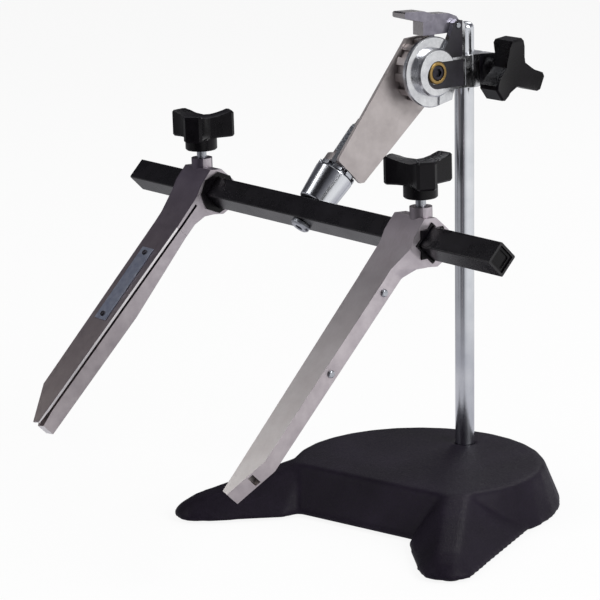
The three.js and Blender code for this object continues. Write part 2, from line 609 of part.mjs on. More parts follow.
// A flat tapered face, a spine that narrows behind it, and the barrel that the crossbar's bolt turns in.
function boomCasting() {
  const plateFrom = BOOM_FACE - BOOM_PLATE_T;
  const plate = prism(boomOutline(), "x", plateFrom, BOOM_FACE);
  const round = (radius, x) => Array.from({ length: 28 }, (_, i) => {
    const angle = (2 * Math.PI * i) / 28;
    return [x, radius * Math.cos(angle), radius * Math.sin(angle)];
  });
  const spine = hull([
    ...round(BOOM_HEAD_R - BOOM_PLATE_T, plateFrom + 0.5),
    ...round(BOOM_HUB_R, BOOM_BACK),
    ...[-1, 1].flatMap((side) => [
      [plateFrom + 0.5, COLLAR_L - BOOM_END, side * (BOOM_END_HALF - 3)],
      [BOOM_BACK, COLLAR_L - BOOM_END, side * BOOM_HUB_R * 0.45],
    ]),
  ]);
  const neck = COLLAR_L - BOOM_END;
  const barrel = turn([[0, -BOOM_END], [COLLAR_R - 0.8, -BOOM_END], [COLLAR_R, 0.8 - BOOM_END],
    [COLLAR_R, neck - 0.8],
    [COLLAR_R - 0.8, neck], [BARREL_R, neck + 1], [BARREL_R, 1 - SHAFT_BORE_TO],
    [BARREL_R / 2, 14 - SHAFT_BORE_TO],
    [0, 14 - SHAFT_BORE_TO]], "y", [0, 0, 0], 32);
  const half = LATCH_W / 2;
  const top = LATCH_SEAT - FIT;
  const bed = atLatch(block(-half, half, neck - 1, LATCH_TRAVEL + 2 - LATCH_FROM, 0, top));
  const boltHole = rod(BOLT_D / 2 + RUN, "x", BOOM_BACK - 1, BOOM_FACE + 1, [0, 0, 0], 24);
  const shaftBore = rod(SHAFT_BORE_R, "y", -BOOM_END - 1, -SHAFT_BORE_TO, [0, 0, 0], 24);
  const seat = atLatch(block(-half - 2 * FIT, half + 2 * FIT, -LATCH_TO - 0.8,
    LATCH_TRAVEL + 0.8 - LATCH_FROM,
    top, LATCH_SEAT + LATCH_H + 3));
  const guide = atLatch(block(-KEY_W / 2 - FIT, KEY_W / 2 + FIT, -LATCH_TO + 3,
    LATCH_TRAVEL - 3 - LATCH_FROM,
    LATCH_SEAT - 2, LATCH_SEAT));
  const noseSlot = atLatch(block(-NOSE_W / 2 - FIT, NOSE_W / 2 + FIT, -BOOM_END - 1, -LATCH_TO, top,
    COLLAR_R + 1));
  return cut(join(plate, spine, barrel, bed), boltHole, shaftBore, seat, guide, noseSlot);
}

// The notched drum that turns with the boom. The lever's tooth stands in one notch for each lock position.
function indexDrum() {
  const from = DRUM_FROM - BOOM_X;
  const to = DRUM_TO - BOOM_X;
  const body = turn([[BUSH_R + RUN, from], [DRUM_R, from], [DRUM_R, to], [BUSH_R + RUN, to],
    [BUSH_R + RUN, from]],
    "x", [0, 0, 0], 48);
  const toothAngle = Math.atan2(DRUM_R, TOOTH_Y - PIVOT_Y) - radians(TILT);
  const notches = Array.from({ length: LOCK_COUNT }, (_, i) => {
    const angle = toothAngle + radians(LOCK_STEP) * i;
    const turned = [[-NOTCH_W / 2, DRUM_R - NOTCH_DEPTH], [NOTCH_W / 2, DRUM_R - NOTCH_DEPTH],
      [NOTCH_W / 2 + 0.6, DRUM_R + 2], [-NOTCH_W / 2 - 0.6, DRUM_R + 2]].map(([a, r]) =>
      [a * Math.sin(angle) + r * Math.cos(angle), r * Math.sin(angle) - a * Math.cos(angle)]);
    return prism(turned, "x", from - 1, to + 1);
  });
  return cut(body, ...notches);
}

function indexLatch() {
  const top = LATCH_SEAT + LATCH_H;
  const half = LATCH_W / 2;
  const plate = block(-half, half, -LATCH_TO, -LATCH_FROM, LATCH_SEAT, top);
  const pitch = (LATCH_TO - LATCH_FROM) / LATCH_RIBS;
  const ribs = Array.from({ length: LATCH_RIBS }, (_, i) => {
    const y = -LATCH_TO + pitch * i;
    return prism([[y, top - 1], [y + pitch * 0.3, top + 1.4], [y + pitch * 0.75, top - 1]],
      "x", -half, half);
  });
  const key = block(-KEY_W / 2, KEY_W / 2, -LATCH_TO + 4, -LATCH_FROM - 6, LATCH_SEAT - 1.7,
    LATCH_SEAT + 1);
  const nose = block(-NOSE_W / 2, NOSE_W / 2, -BOOM_END, 1 - LATCH_TO, LATCH_SEAT, top);
  return atLatch(join(plate, ...ribs, key, nose));
}

function indexFlange() {
  const from = -BOOM_END - FIT - INDEX_H;
  const body = tube(BOLT_D / 2 + FIT, INDEX_R, "y", from, -BOOM_END - FIT, [0, 0, 0], 40);
  const half = NOSE_W / 2 + FIT;
  const notches = Array.from({ length: INDEX_COUNT }, (_, i) => {
    const tool = block(-half, half, from - 1, from + INDEX_H + 1, LATCH_SEAT - FIT, INDEX_R + 3);
    return atLatch(tool).rotate([0, (360 / INDEX_COUNT) * i, 0]);
  });
  return cut(body, ...notches);
}

function sleeveBody() {
  const top = -BOOM_END - 2 * FIT - INDEX_H;
  const end = -BOOM_REACH + BAR_SIDE / 2 + FIT;
  const bore = BOLT_D / 2 + FIT;
  const profile = [[bore, end], [SLEEVE_END_R - 0.8, end], [SLEEVE_END_R, end + 0.8],
    [SLEEVE_TOP_R, top - 0.8],
    [SLEEVE_TOP_R - 0.8, top], [bore, top], [bore, end]];
  return turn(profile, "y", [0, 0, 0], 40);
}

function swivelBolt() {
  const seat = -BOOM_REACH - BAR_SIDE / 2 - FIT;
  const head = turn([[0, seat - 4], [6.5, seat - 4], [8, seat - 2.6], [8, seat], [0, seat]],
    "y", [0, 0, 0], 28);
  const shank = rod(BOLT_D / 2, "y", seat - 1, -SHAFT_BORE_TO - 3, [0, 0, 0], 28);
  return cut(join(head, shank), hexagon(6, "y", seat - 5, seat - 1.6, [0, 0, 0]));
}

function swivelBushing() {
  return tube(BOLT_D / 2 + RUN, SHAFT_BORE_R - FIT, "y", -BOOM_END, -SHAFT_BORE_TO - 13, [0, 0, 0], 24);
}

function swivelNut() {
  const from = -SHAFT_BORE_TO - 13 + FIT;
  return cut(hexagon(13.6, "y", from, from + 7, [0, 0, 0]), rod(BOLT_D / 2 + FIT, "y", -200, 0, [0, 0,
    0], 24));
}

function roundSquare(half, radius, steps = 4) {
  const corners = [[1, 1], [-1, 1], [-1, -1], [1, -1]];
  return corners.flatMap(([sx, sy], corner) =>
    Array.from({ length: steps + 1 }, (_, i) => {
      const angle = (Math.PI / 2) * (corner + i / steps);
      return [sx * (half - radius) + radius * Math.cos(angle),
        sy * (half - radius) + radius * Math.sin(angle)];
    }));
}

function crossbarTube() {
  const half = BAR_SIDE / 2;
  const outer = prism(roundSquare(half, BAR_ROUND), "x", -BAR_HALF, BAR_HALF);
  const inner = prism(roundSquare(half - BAR_WALL, 0.6, 2), "x", -BAR_HALF - 1, BAR_HALF + 1);
  const boltHole = rod(BOLT_D / 2 + FIT, "y", -BAR_SIDE, BAR_SIDE, [0, 0, 0], 32);
  return cut(outer, inner, boltHole);
}

function barPlug() {
  const half = BAR_SIDE / 2 - BAR_WALL - FIT;
  const body = prism(roundSquare(half, 0.6, 2), "x", 0, PLUG_DEPTH);
  const dimple = prism(roundSquare(half - 2, 1, 2), "x", PLUG_DEPTH - 1.2, PLUG_DEPTH + 1);
  return cut(body, dimple);
}

// Arms, in a frame with its origin on the crossbar's centre and -Y down the arm.
// Side is the direction of the other arm: +1 on the left arm and -1 on the right one.

function innerEdge(y) {
  const share = (ARM_HEAD_Y - y) / (ARM_HEAD_Y - ARM_TIP_Y);
  return ARM_INNER_HEAD + (ARM_INNER_TIP - ARM_INNER_HEAD) * share;
}

function flip(points, side) {
  return points.map(([u, y]) => [side * u, y]);
}

function armOuter(side) {
  return side > 0 ? ARM_LEFT_OUTER : ARM_RIGHT_OUTER;
}

function armBeam(side) {
  const outer = armOuter(side);
  const shape = [[-outer, -12], [-outer, TIP_CUT_Y], [TIP_NOSE, ARM_TIP_Y - 1.5],
    [ARM_INNER_TIP, ARM_TIP_Y],
    [ARM_INNER_HEAD, ARM_HEAD_Y], [ARM_INNER_HEAD, -12]];
  return prism(flip(shape, side), "z", ARM_BOTTOM, ARM_TOP);
}

function armHead(side) {
  const profile = [[16.5, 10], [17.4, -6], [9, -17.2], [-4, -18.8], [-10, -17], [-16, -9.5], [-23, -3],
    [-34, ARM_BOTTOM],
    [-46, ARM_BOTTOM], [-46, ARM_TOP], [-16, ARM_TOP + 1], [-6, ARM_TOP + 4], [9, 18.5]];
  const wide = side > 0 ? [-HEAD_OUTER, ARM_INNER_HEAD] : [-ARM_INNER_HEAD, HEAD_OUTER];
  const block3 = prism(profile, "x", ...wide);
  const outer = armOuter(side);
  const waist = [[-HEAD_OUTER, 20], [-HEAD_OUTER, -18], [-outer, -36], [-outer, -50],
    [ARM_INNER_HEAD, -50], [ARM_INNER_HEAD, 20]];
  return block3.intersect(prism(flip(waist, side), "z", -40, 40));
}

function knobX(side) {
  return side > 0 ? -KNOB_LEFT_OUT : KNOB_RIGHT_OUT;
}

// The knob's axis leans from the arm's face back over the bar.
function leanQuaternion() {
  return new THREE.Quaternion().setFromAxisAngle(new THREE.Vector3(1, 0, 0), -radians(KNOB_LEAN));
}

function alongLean(body, x) {
  return body.rotate([-KNOB_LEAN, 0, 0]).translate([x, 0, 0]);
}

function starHole(half, from, to) {
  const square = [[half, half], [-half, half], [-half, -half], [half, -half]];
  const upright = prism(square, "x", from, to);
  return join(upright, prism(square, "x", from, to).rotate([45, 0, 0]));
}

function linerHalf() {
  return BAR_SIDE / 2 + FIT + LINER_T;
}

function armCasting(side) {
  const boss = alongLean(rod(BOSS_D / 2, "z", 14, KNOB_BOSS_TOP, [0, 0, 0], 36), knobX(side));
  const studHole = alongLean(rod(STUD_R + RUN, "z", 0, KNOB_BOSS_TOP + 2, [0, 0, 0], 28), knobX(side));
  const hole = starHole(linerHalf() + FIT, -40, 40);
  return cut(join(armBeam(side), armHead(side), boss), hole, studHole);
}

// The slot's outline: its bottom is parallel to the other arm's, and its mouth is the tapered inner face.
function slotRun(far, near) {
  const bottom = ARM_INNER_TIP - SLOT_DEPTH;
  const outside = ARM_INNER_HEAD + SLOT_DEPTH;
  return [[bottom, far], [outside, far], [outside, near], [bottom, near]];
}

// The board's slot along the left arm's inner face, wider at the tip to lead the board in.
function fixedSlot(side) {
  const low = SLOT_Z - SLOT_W / 2;
  const high = SLOT_Z + SLOT_W / 2;
  const slot = prism(flip(slotRun(ARM_TIP_Y - 5, SLOT_END_Y), side), "z", low, high);
  const mouth = hull([low - 2.4, high + 2.4].flatMap((z) =>
    [[-4, ARM_TIP_Y - 4], [20, ARM_TIP_Y - 4]].map(([u, y]) => [side * u, y, z]))
    .concat([low, high].flatMap((z) => [[side * 5, ARM_TIP_Y + 14, z], [side * 20, ARM_TIP_Y + 14, z]])));
  return join(slot, mouth);
}

// A stretch from the arm's own side of the rail, as a pair of X limits in rising order.
function ordered([a, b], side) {
  return side > 0 ? [a, b] : [-b, -a];
}

// The rail's outline, or with room to move and to spare the outline of its pocket.
function railShape(room, spare) {
  const near = ARM_HEAD_Y - 2 + room;
  const far = ARM_TIP_Y + RAIL_FROM_TIP - room;
  const back = RAIL_BACK_U - spare;
  return [[back, far], [innerEdge(far) + spare, far], [innerEdge(near) + spare, near], [back, near]];
}

// The pocket that the sprung rail of the right arm slides in, with a hole for each guide pin.
function railPocket(side) {
  const half = RAIL_Z / 2 + FIT;
  const pocket = prism(flip(railShape(RUN, RAIL_TRAVEL + RUN), side), "z", SLOT_Z - half, SLOT_Z + half);
  const reach = [-2 * ARM_RIGHT_OUTER, RAIL_BACK_U];
  const holes = PIN_Y.map((y) => rod(PIN_R + RUN, "x", ...ordered(reach, side), [0, y, SLOT_Z], 20));
  return join(pocket, ...holes);
}

function springRail(side) {
  const half = RAIL_Z / 2;
  const body = prism(flip(railShape(0, 0), side), "z", SLOT_Z - half, SLOT_Z + half);
  const slot = prism(flip(slotRun(ARM_TIP_Y, ARM_HEAD_Y + 5), side), "z", SLOT_Z - SLOT_W / 2,
    SLOT_Z + SLOT_W / 2);
  const reach = [-2 * ARM_RIGHT_OUTER, RAIL_BACK_U + PIN_SINK];
  const sockets = PIN_Y.map((y) => rod(PIN_R + FIT, "x", ...ordered(reach, side), [0, y, SLOT_Z], 20));
  return cut(body, slot, ...sockets);
}

function railPin(side, y) {
  const end = RAIL_BACK_U + PIN_SINK - FIT;
  const face = -ARM_RIGHT_OUTER - FIT;
  const profile = [[0, face - PIN_HEAD_H], [PIN_HEAD_R - 0.8, face - PIN_HEAD_H],
    [PIN_HEAD_R, face - PIN_HEAD_H + 0.8],
    [PIN_HEAD_R, face], [PIN_R, face], [PIN_R, end], [0, end]];
  return turn(profile.map(([r, h]) => [r, side * h]), "x", [0, y, SLOT_Z], 16);
}

function armLiner() {
  const half = linerHalf();
  const from = -HEAD_OUTER - LINER_RIM;
  const to = ARM_INNER_HEAD + LINER_RIM;
  const bore = BAR_SIDE / 2 + FIT;
  const flange = rod(LINER_FLANGE_R, "x", ARM_INNER_HEAD + FIT, to, [0, 0, 0], 8);
  return cut(join(starHole(half, from, to), flange), prism([[bore, bore], [-bore, bore], [-bore, -bore],
    [bore, -bore]],
    "x", from - 1, to + 1));
}

function linerFor(side) {
  const liner = side > 0 ? armLiner() : armLiner().mirror([1, 0, 0]);
  return cut(liner, alongLean(rod(STUD_R + RUN, "z", 0, 30, [0, 0, 0], 28), knobX(side)));
}

function addArm(bar, name, x, side) {
  const group = new THREE.Group();
  group.position.x = x;
  const sprung = side < 0;
  const casting = cut(armCasting(side), sprung ? railPocket(side) : fixedSlot(side));
  group.add(mesh(name + "_casting", casting, "cast"));
  group.add(mesh(name + "_liner", linerFor(side), "knob"));
  if (sprung) addRail(group, side);
  else addNamePlate(group);
  const axis = new THREE.Vector3(0, 0, 1).applyQuaternion(leanQuaternion());
  const seat = [knobX(side), axis.y * KNOB_SEAT, axis.z * KNOB_SEAT];
  addKnob(group, name, seat, leanQuaternion(), side > 0 ? 69 : 91,
  KNOB_SEAT - BAR_SIDE * Math.SQRT1_2 - 0.6);
  bar.add(group);
}

function addRail(group, side) {
  group.add(mesh("spring_rail", springRail(side), "cast"));
  PIN_Y.forEach((y, i) => group.add(mesh("rail_pin_" + (i + 1), railPin(side, y), "steel")));
}

// A bare plate on the left arm's face, held by two round-headed rivets.
function addNamePlate(group) {
  const seat = ARM_TOP + 0.3;
  const half = PLATE_LENGTH / 2;
  const holes = [-1, 1].map((end) => rod(1.5, "z", 0, 40, [0, PLATE_Y + (end * RIVET_STEP) / 2, 0], 16));
  const plate = block(-PLATE_WIDTH / 2, PLATE_WIDTH / 2, PLATE_Y - half, PLATE_Y + half, seat,
    seat + PLATE_H);
  group.add(mesh("name_plate", cut(plate, ...holes), "plate"));
  [-1, 1].forEach((end, i) => {
    const top = seat + PLATE_H + 0.3;
    const rivet = turn([[0, ARM_TOP + 0.3], [1.2, ARM_TOP + 0.3], [1.2, top], [2.6, top],
      [1.8, top + 1.2], [0, top + 1.5]],
      "z", [0, PLATE_Y + (end * RIVET_STEP) / 2, 0], 14);
    group.add(mesh("plate_rivet_" + (i + 1), rivet, "dark"));
  });
}

function addBoom(head) {
  const boom = new THREE.Group();
  boom.position.set(BOOM_X, PIVOT_Y, PIVOT_Z);
  boom.rotation.x = radians(TILT);
  boom.add(mesh("boom_casting", boomCasting(), "cast"));
  boom.add(mesh("tilt_drum", indexDrum(), "dark"));
  boom.add(mesh("swivel_bushing", swivelBushing(), "brass"));
  boom.add(mesh("index_latch", indexLatch(), "steel"));
  boom.add(mesh("index_flange", indexFlange(), "steel"));
  boom.add(mesh("sleeve", sleeveBody(), "chrome"));
  boom.add(mesh("swivel_bolt", swivelBolt(), "steel"));
  boom.add(mesh("swivel_nut", swivelNut(), "steel"));
  const bar = new THREE.Group();
  bar.position.y = -BOOM_REACH;
  bar.add(mesh("crossbar", crossbarTube(), "bar"));
  const plugStart = BAR_HALF - PLUG_RECESS - PLUG_DEPTH;
  bar.add(mesh("bar_plug_right", moved(barPlug(), plugStart, 0, 0), "knob"));
  bar.add(mesh("bar_plug_left", moved(barPlug().mirror([1, 0, 0]), -plugStart, 0, 0), "knob"));
  addArm(bar, "arm_left", ARM_LEFT_X, 1);
  addArm(bar, "arm_right", ARM_RIGHT_X, -1);
  boom.add(bar);
  head.add(boom);
}

function boardHolder() {
  const root = new THREE.Group();
  addBase(root);
  addPost(root);
  const head = new THREE.Group();
  head.rotation.z = radians(HEAD_SWIVEL);
  addClamp(head);
  head.add(mesh("tilt_lever", tiltLever(), "polished"));
  addClampKnob(head);
  addBoom(head);
  root.add(head);
  root.position.set(-MIDDLE_X, -MIDDLE_Y, 0);
  return root;
}

export default boardHolder();
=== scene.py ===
# %% [markdown]
# # A bench-top circuit board holder
# The holder is a heavy painted base, a chrome post, a clamp head, a tilting boom and a crossbar with two
# arms. Its solids arrive as a fixed frame that is already right in size and place. So this lesson is
# about what a solid lacks: soft edges, real metals, paint, plastic, light and a camera. The first cell
# loads the frame.

# %% Load the frame
import json
import math

import bmesh
import bpy
from mathutils import Matrix, Vector


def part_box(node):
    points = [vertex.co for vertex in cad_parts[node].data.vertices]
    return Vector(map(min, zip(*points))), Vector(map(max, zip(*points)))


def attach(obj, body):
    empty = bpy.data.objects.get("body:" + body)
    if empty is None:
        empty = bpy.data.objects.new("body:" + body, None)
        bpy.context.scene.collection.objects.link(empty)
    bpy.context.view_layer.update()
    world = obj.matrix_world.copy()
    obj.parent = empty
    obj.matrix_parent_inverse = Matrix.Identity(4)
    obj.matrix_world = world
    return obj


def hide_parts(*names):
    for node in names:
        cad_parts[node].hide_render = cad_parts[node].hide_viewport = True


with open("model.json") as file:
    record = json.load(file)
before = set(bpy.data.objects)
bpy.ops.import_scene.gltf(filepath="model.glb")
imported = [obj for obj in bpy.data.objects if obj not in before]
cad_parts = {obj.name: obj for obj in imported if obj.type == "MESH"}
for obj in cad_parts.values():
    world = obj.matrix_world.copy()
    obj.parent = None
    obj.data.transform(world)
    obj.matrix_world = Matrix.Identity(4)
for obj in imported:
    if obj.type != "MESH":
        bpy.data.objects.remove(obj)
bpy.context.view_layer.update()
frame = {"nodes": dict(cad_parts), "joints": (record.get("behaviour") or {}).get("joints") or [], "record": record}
nodes = frame["nodes"]
MM = 0.001

# %% [markdown]
# The photograph was taken from some way off with a long lens, a little above the holder. A camera could
# be placed by eye in the viewport, but numbers can be measured and fitted. So its place comes from an
# azimuth, an elevation and a distance, counted from a point in the middle of the picture. A long lens
# keeps the two arms nearly parallel.

# %% Camera
AIM = Vector((-0.06416, 0.07667, 0.15630))
AZIMUTH, ELEVATION, ROLL = (math.radians(a) for a in (39.134, 13.186, -0.882))
DISTANCE_M = 2.331
LENS_MM, SENSOR_MM = 168.0, 36.0
FAR_LIMIT_M = 50.0


def view_axes(azimuth, elevation):
    """The camera's right, up and back directions, before any roll."""
    right = Vector((math.cos(azimuth), math.sin(azimuth), 0))
    back = Vector((math.sin(azimuth) * math.cos(elevation),
                   -math.cos(azimuth) * math.cos(elevation), math.sin(elevation)))
    return right, back.cross(right), back


right, up, back = view_axes(AZIMUTH, ELEVATION)
rolled_right = right * math.cos(ROLL) + up * math.sin(ROLL)
rolled_up = back.cross(rolled_right)
camera_data = bpy.data.cameras.new("long_lens")
camera_data.lens = LENS_MM
camera_data.sensor_width = SENSOR_MM
camera_data.clip_end = FAR_LIMIT_M
camera = bpy.data.objects.new("camera", camera_data)
bpy.context.scene.collection.objects.link(camera)
turn = Matrix((rolled_right, rolled_up, back)).transposed().to_4x4()
camera.matrix_world = Matrix.Translation(AIM + back * DISTANCE_M) @ turn
bpy.context.scene.camera = camera
print("camera stands at", [round(v, 3) for v in camera.location])

# %% [markdown]
# Colours are written the way a designer picks them, as sRGB hex values, and Blender works in linear
# light. They could be typed as linear numbers, but nobody can picture those, so one function turns one
# into the other.

# %% Colours in linear light


def linear(hex_value):
    """An sRGB hex colour as linear red, green, blue and alpha."""
    channels = [int(hex_value[i:i + 2], 16) / 255 for i in (1, 3, 5)]
    return [c / 12.92 if c <= 0.04045 else ((c + 0.055) / 1.055) ** 2.4 for c in channels] + [1.0]


print("linear #808080 is", round(linear("#808080")[0], 3))

# %% [markdown]
# Every finish is a small tree of nodes. One function adds a node of any kind with its settings and links,
# so the code below reads like the tree in the editor. Two more start an empty tree, and a material round
# one Principled shader.

# %% One function that adds a node


def add(tree, kind, settings=None, stops=(), **inputs):
    """Adds a node. Settings are its properties, stops are a ramp's (place, hex colour) pairs, and inputs
    are values, colours or sockets, by the input's name or as _0 by its number."""
    node = tree.nodes.new(kind)
    for name, value in (settings or {}).items():
        setattr(node, name, value)
    if stops:
        elements = node.color_ramp.elements
        while len(elements) < len(stops):
            elements.new(0.5)
        for element, (place, colour) in zip(elements, stops):
            element.position = place
            element.color = linear(colour)
    for name, value in inputs.items():
        socket = node.inputs[int(name[1:]) if name[1:].isdigit() else name.replace("_", " ")]
        if isinstance(value, bpy.types.NodeSocket):
            tree.links.new(value, socket)
        else:
            socket.default_value = value
    return node


def empty_tree(owner):
    """The cleared node tree of a material or a world."""
    owner.use_nodes = True
    owner.node_tree.nodes.clear()
    return owner.node_tree


def new_material(name, **shader):
    """A material with one Principled shader, and the tree that it stands in."""
    material = bpy.data.materials.new(name)
    tree = empty_tree(material)
    principled = add(tree, "ShaderNodeBsdfPrincipled", **shader)
    add(tree, "ShaderNodeOutputMaterial", Surface=principled.outputs[0])
    return material, tree, principled


print("node helpers:", add.__name__, empty_tree.__name__, new_material.__name__)

# %% [markdown]
# No real surface is one flat colour. Each finish here has up to three patterns: one drifts its colour,
# one its roughness, and one raises a fine relief. Image textures could do that too, but noise needs no
# files and has a size: its scale comes from a length in millimetres. Noise stays mostly between 0.3 and
# 0.7, so a roughness is spread over that range.

# %% Patterns with a real size
NOISE_LOW, NOISE_HIGH = 0.3, 0.7


def per_mm(millimetres):
    """The texture scale that gives a pattern this size."""
    return 1000.0 / millimetres


def on_piece(tree, stretch=(1, 1, 1)):
    """Where a point is on its piece, in metres, stretched along an axis where grain runs one way."""
    place = add(tree, "ShaderNodeTexCoord")
    return add(tree, "ShaderNodeMapping", Vector=place.outputs["Object"], Scale=stretch).outputs[0]


def patterned(tree, shader, colour, roughness, relief, painted_shade=None):
    """Lets patterns drive a shader. Colour is (pattern, stops), roughness is (pattern, low, high) and
    relief is (pattern, depth in mm, strength). A painted shade is a colour that multiplies the first."""
    pattern, stops = colour
    tone = add(tree, "ShaderNodeValToRGB", stops=stops, Fac=pattern).outputs["Color"]
    if painted_shade:
        tone = add(tree, "ShaderNodeMix", {"data_type": "RGBA", "blend_type": "MULTIPLY"}, _0=1.0,
                   _6=tone, _7=painted_shade).outputs[2]
    tree.links.new(tone, shader.inputs["Base Color"])
    pattern, low, high = roughness
    spread = add(tree, "ShaderNodeMapRange", Value=pattern, From_Min=NOISE_LOW, From_Max=NOISE_HIGH,
                 To_Min=low, To_Max=high)
    tree.links.new(spread.outputs[0], shader.inputs["Roughness"])
    pattern, depth_mm, strength = relief
    bump = add(tree, "ShaderNodeBump", Strength=strength, Distance=depth_mm * MM, Height=pattern)
    tree.links.new(bump.outputs[0], shader.inputs["Normal"])


print("a pattern of 2 mm has scale", per_mm(2))

# %% [markdown]
# The base is cast iron under wrinkle enamel, a paint that shrinks in the oven into fine ridges. It hides
# the rough casting. The eye sees a near black with a violet cast that breaks every highlight into grains.
# The ridges could be real displacement, but they are too low to change an outline, so they are relief in
# the finish. Real wrinkles are under a millimetre; they are drawn a little coarser here, so that they
# show.

# %% Wrinkle enamel
WRINKLE_MM, WRINKLE_DEPTH_MM = 1.7, 0.35
CLOUD_MM, CLOUD_SHARE = 45, 0.45
ENAMEL_TONES = [(0.25, "#0e0a13"), (0.5, "#17111d"), (0.78, "#251e2d")]
enamel, tree, shader = new_material("wrinkle_enamel", Roughness=0.55, IOR=1.5, Specular_IOR_Level=0.14)
place = on_piece(tree)
wrinkle = add(tree, "ShaderNodeTexNoise", Vector=place, Scale=per_mm(WRINKLE_MM), Detail=4.0,
              Roughness=0.6, Distortion=1.2).outputs[0]
cloud = add(tree, "ShaderNodeTexNoise", Vector=place, Scale=per_mm(CLOUD_MM), Detail=3.0).outputs[0]
blotch = add(tree, "ShaderNodeMix", {"data_type": "FLOAT"}, _0=CLOUD_SHARE, _2=wrinkle, _3=cloud)
patterned(tree, shader, colour=(blotch.outputs[0], ENAMEL_TONES), roughness=(wrinkle, 0.42, 0.68),
          relief=(wrinkle, WRINKLE_DEPTH_MM, 0.55))
print(enamel.name, "has", len(tree.nodes), "nodes")

# %% [markdown]
# The post and the sleeve are ground steel under bright chrome. Chrome is nearly a mirror: what shapes it
# is what it reflects, and faint lines left by grinding, which run round the post and blur the reflection.
# An anisotropic shader could draw them; a noise that is stretched round the post does the same and shows
# its lines close up.

# %% Bright chrome
GRINDING_MM, GRINDING_DEPTH_MM, HAZE_MM = 0.5, 0.003, 30
ROUND_THE_POST = (0.08, 0.08, 1.0)
CHROME_TONES = [(0.3, "#c6c9cf"), (0.7, "#dddfe3")]
chrome, tree, shader = new_material("bright_chrome", Metallic=1.0, Roughness=0.2)
lines = add(tree, "ShaderNodeTexNoise", Vector=on_piece(tree, ROUND_THE_POST), Scale=per_mm(GRINDING_MM),
            Detail=2.0).outputs[0]
haze = add(tree, "ShaderNodeTexNoise", Vector=on_piece(tree), Scale=per_mm(HAZE_MM), Detail=3.0).outputs[0]
patterned(tree, shader, colour=(haze, CHROME_TONES), roughness=(lines, 0.17, 0.21),
          relief=(lines, GRINDING_DEPTH_MM, 0.08))
print(chrome.name, "has grinding lines every", GRINDING_MM, "mm")

# %% [markdown]
# Some colours change along a piece or stop at an edge, among them painted light and shade. To say where,
# two frames of reference are read from the model's own joints. One stands at the post's foot and looks
# the clamp head's way, the other lies in the crossbar with its X along the bar and its Y up the arms.
# Typed coordinates would do for a holder of this size; the joints and the bar's box hold for any.

# %% Frames of the head and of the bar
UP = Vector((0, 0, 1))


def joint(name):
    """What the model says of one joint."""
    return next(row for row in frame["joints"] if row["name"] == name)


def frame_at(origin, across, along):
    """A frame of reference with its X and Y in two directions that are square to each other."""
    axes = Matrix((across, along, across.cross(along))).transposed().to_4x4()
    return Matrix.Translation(origin) @ axes


POST_FOOT = Vector(joint("post_swivel")["pos_m"])
POST_FOOT.z = 0
ACROSS = Vector(joint("boom_tilt")["axis"]).normalized()
DOWN_ARM = Vector(joint("bar_rotation")["axis"]).normalized()
low_corner, high_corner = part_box("crossbar")
HEAD_FRAME = frame_at(POST_FOOT, ACROSS, UP.cross(ACROSS))
BAR_FRAME = frame_at((low_corner + high_corner) / 2, ACROSS, -DOWN_ARM)
print("the bar's middle is at", [round(v, 4) for v in BAR_FRAME.translation])

# %% [markdown]
# The arms are coloured darker near their knobs and lighter towards their tips. This is painted shade and
# reflection, not wear. That could be painted by hand as a mask. Here a point's distance down the arm
# makes it, so it stays right if the arm's mesh changes.

# %% Painted shade along an arm
# How far down an arm the painted shade fades out to the lighter tone.
SHADED_LENGTH_M = 0.24
ARM_START = BAR_FRAME.translation.dot(DOWN_ARM)


def shade_along_arm(tree, place, shaded, lighter):
    """A painted shade that goes from dark at the bar to lighter near an arm's tip."""
    where = add(tree, "ShaderNodeVectorMath", {"operation": "DOT_PRODUCT"}, _0=place, _1=tuple(DOWN_ARM))
    share = add(tree, "ShaderNodeMapRange", Value=where.outputs["Value"], From_Min=ARM_START,
                From_Max=ARM_START + SHADED_LENGTH_M)
    return add(tree, "ShaderNodeValToRGB", stops=[(0.0, shaded), (1.0, lighter)],
               Fac=share.outputs[0]).outputs["Color"]


print("an arm is clean from", round(SHADED_LENGTH_M * 1000), "mm down")

# %% [markdown]
# The arms and the boom are die castings in a zinc and aluminium alloy, tumbled to a satin. Tumbling
# leaves a soft, slightly mottled grey with tiny pits and scratches in all directions. The clamp head and
# the lever are the same alloy, polished by hand. A material could be copied and changed for each; one
# function makes them all, so what they share stays the same and only the numbers differ.

# %% Die-cast alloy
PIT_MM, SCRATCH_MM = 0.9, 1.4
SCRATCH_STRETCH = (1.0, 0.12, 0.3)


def die_cast(name, tones, roughness, mottle_mm, pit_depth_mm, shaded_and_lit=None):
    """Tumbled or polished die-cast alloy, with two tones of its own and two of painted shade along an arm."""
    material, tree, shader = new_material(name, Metallic=1.0, Roughness=roughness[0])
    place = on_piece(tree)
    mottle = add(tree, "ShaderNodeTexNoise", Vector=place, Scale=per_mm(mottle_mm), Detail=5.0,
                 Roughness=0.6).outputs[0]
    pits = add(tree, "ShaderNodeTexNoise", Vector=place, Scale=per_mm(PIT_MM), Detail=3.0).outputs[0]
    scratches = add(tree, "ShaderNodeTexNoise", Vector=on_piece(tree, SCRATCH_STRETCH),
                    Scale=per_mm(SCRATCH_MM), Detail=2.0, Distortion=0.4).outputs[0]
    # Along an arm the colour is multiplied by painted shade, darker at the bar.
    painted_shade = shade_along_arm(tree, place, *shaded_and_lit) if shaded_and_lit else None
    patterned(tree, shader, colour=(mottle, list(zip((NOISE_LOW, NOISE_HIGH), tones))),
              roughness=(scratches, *roughness), relief=(pits, pit_depth_mm, 0.35), painted_shade=painted_shade)
    return material


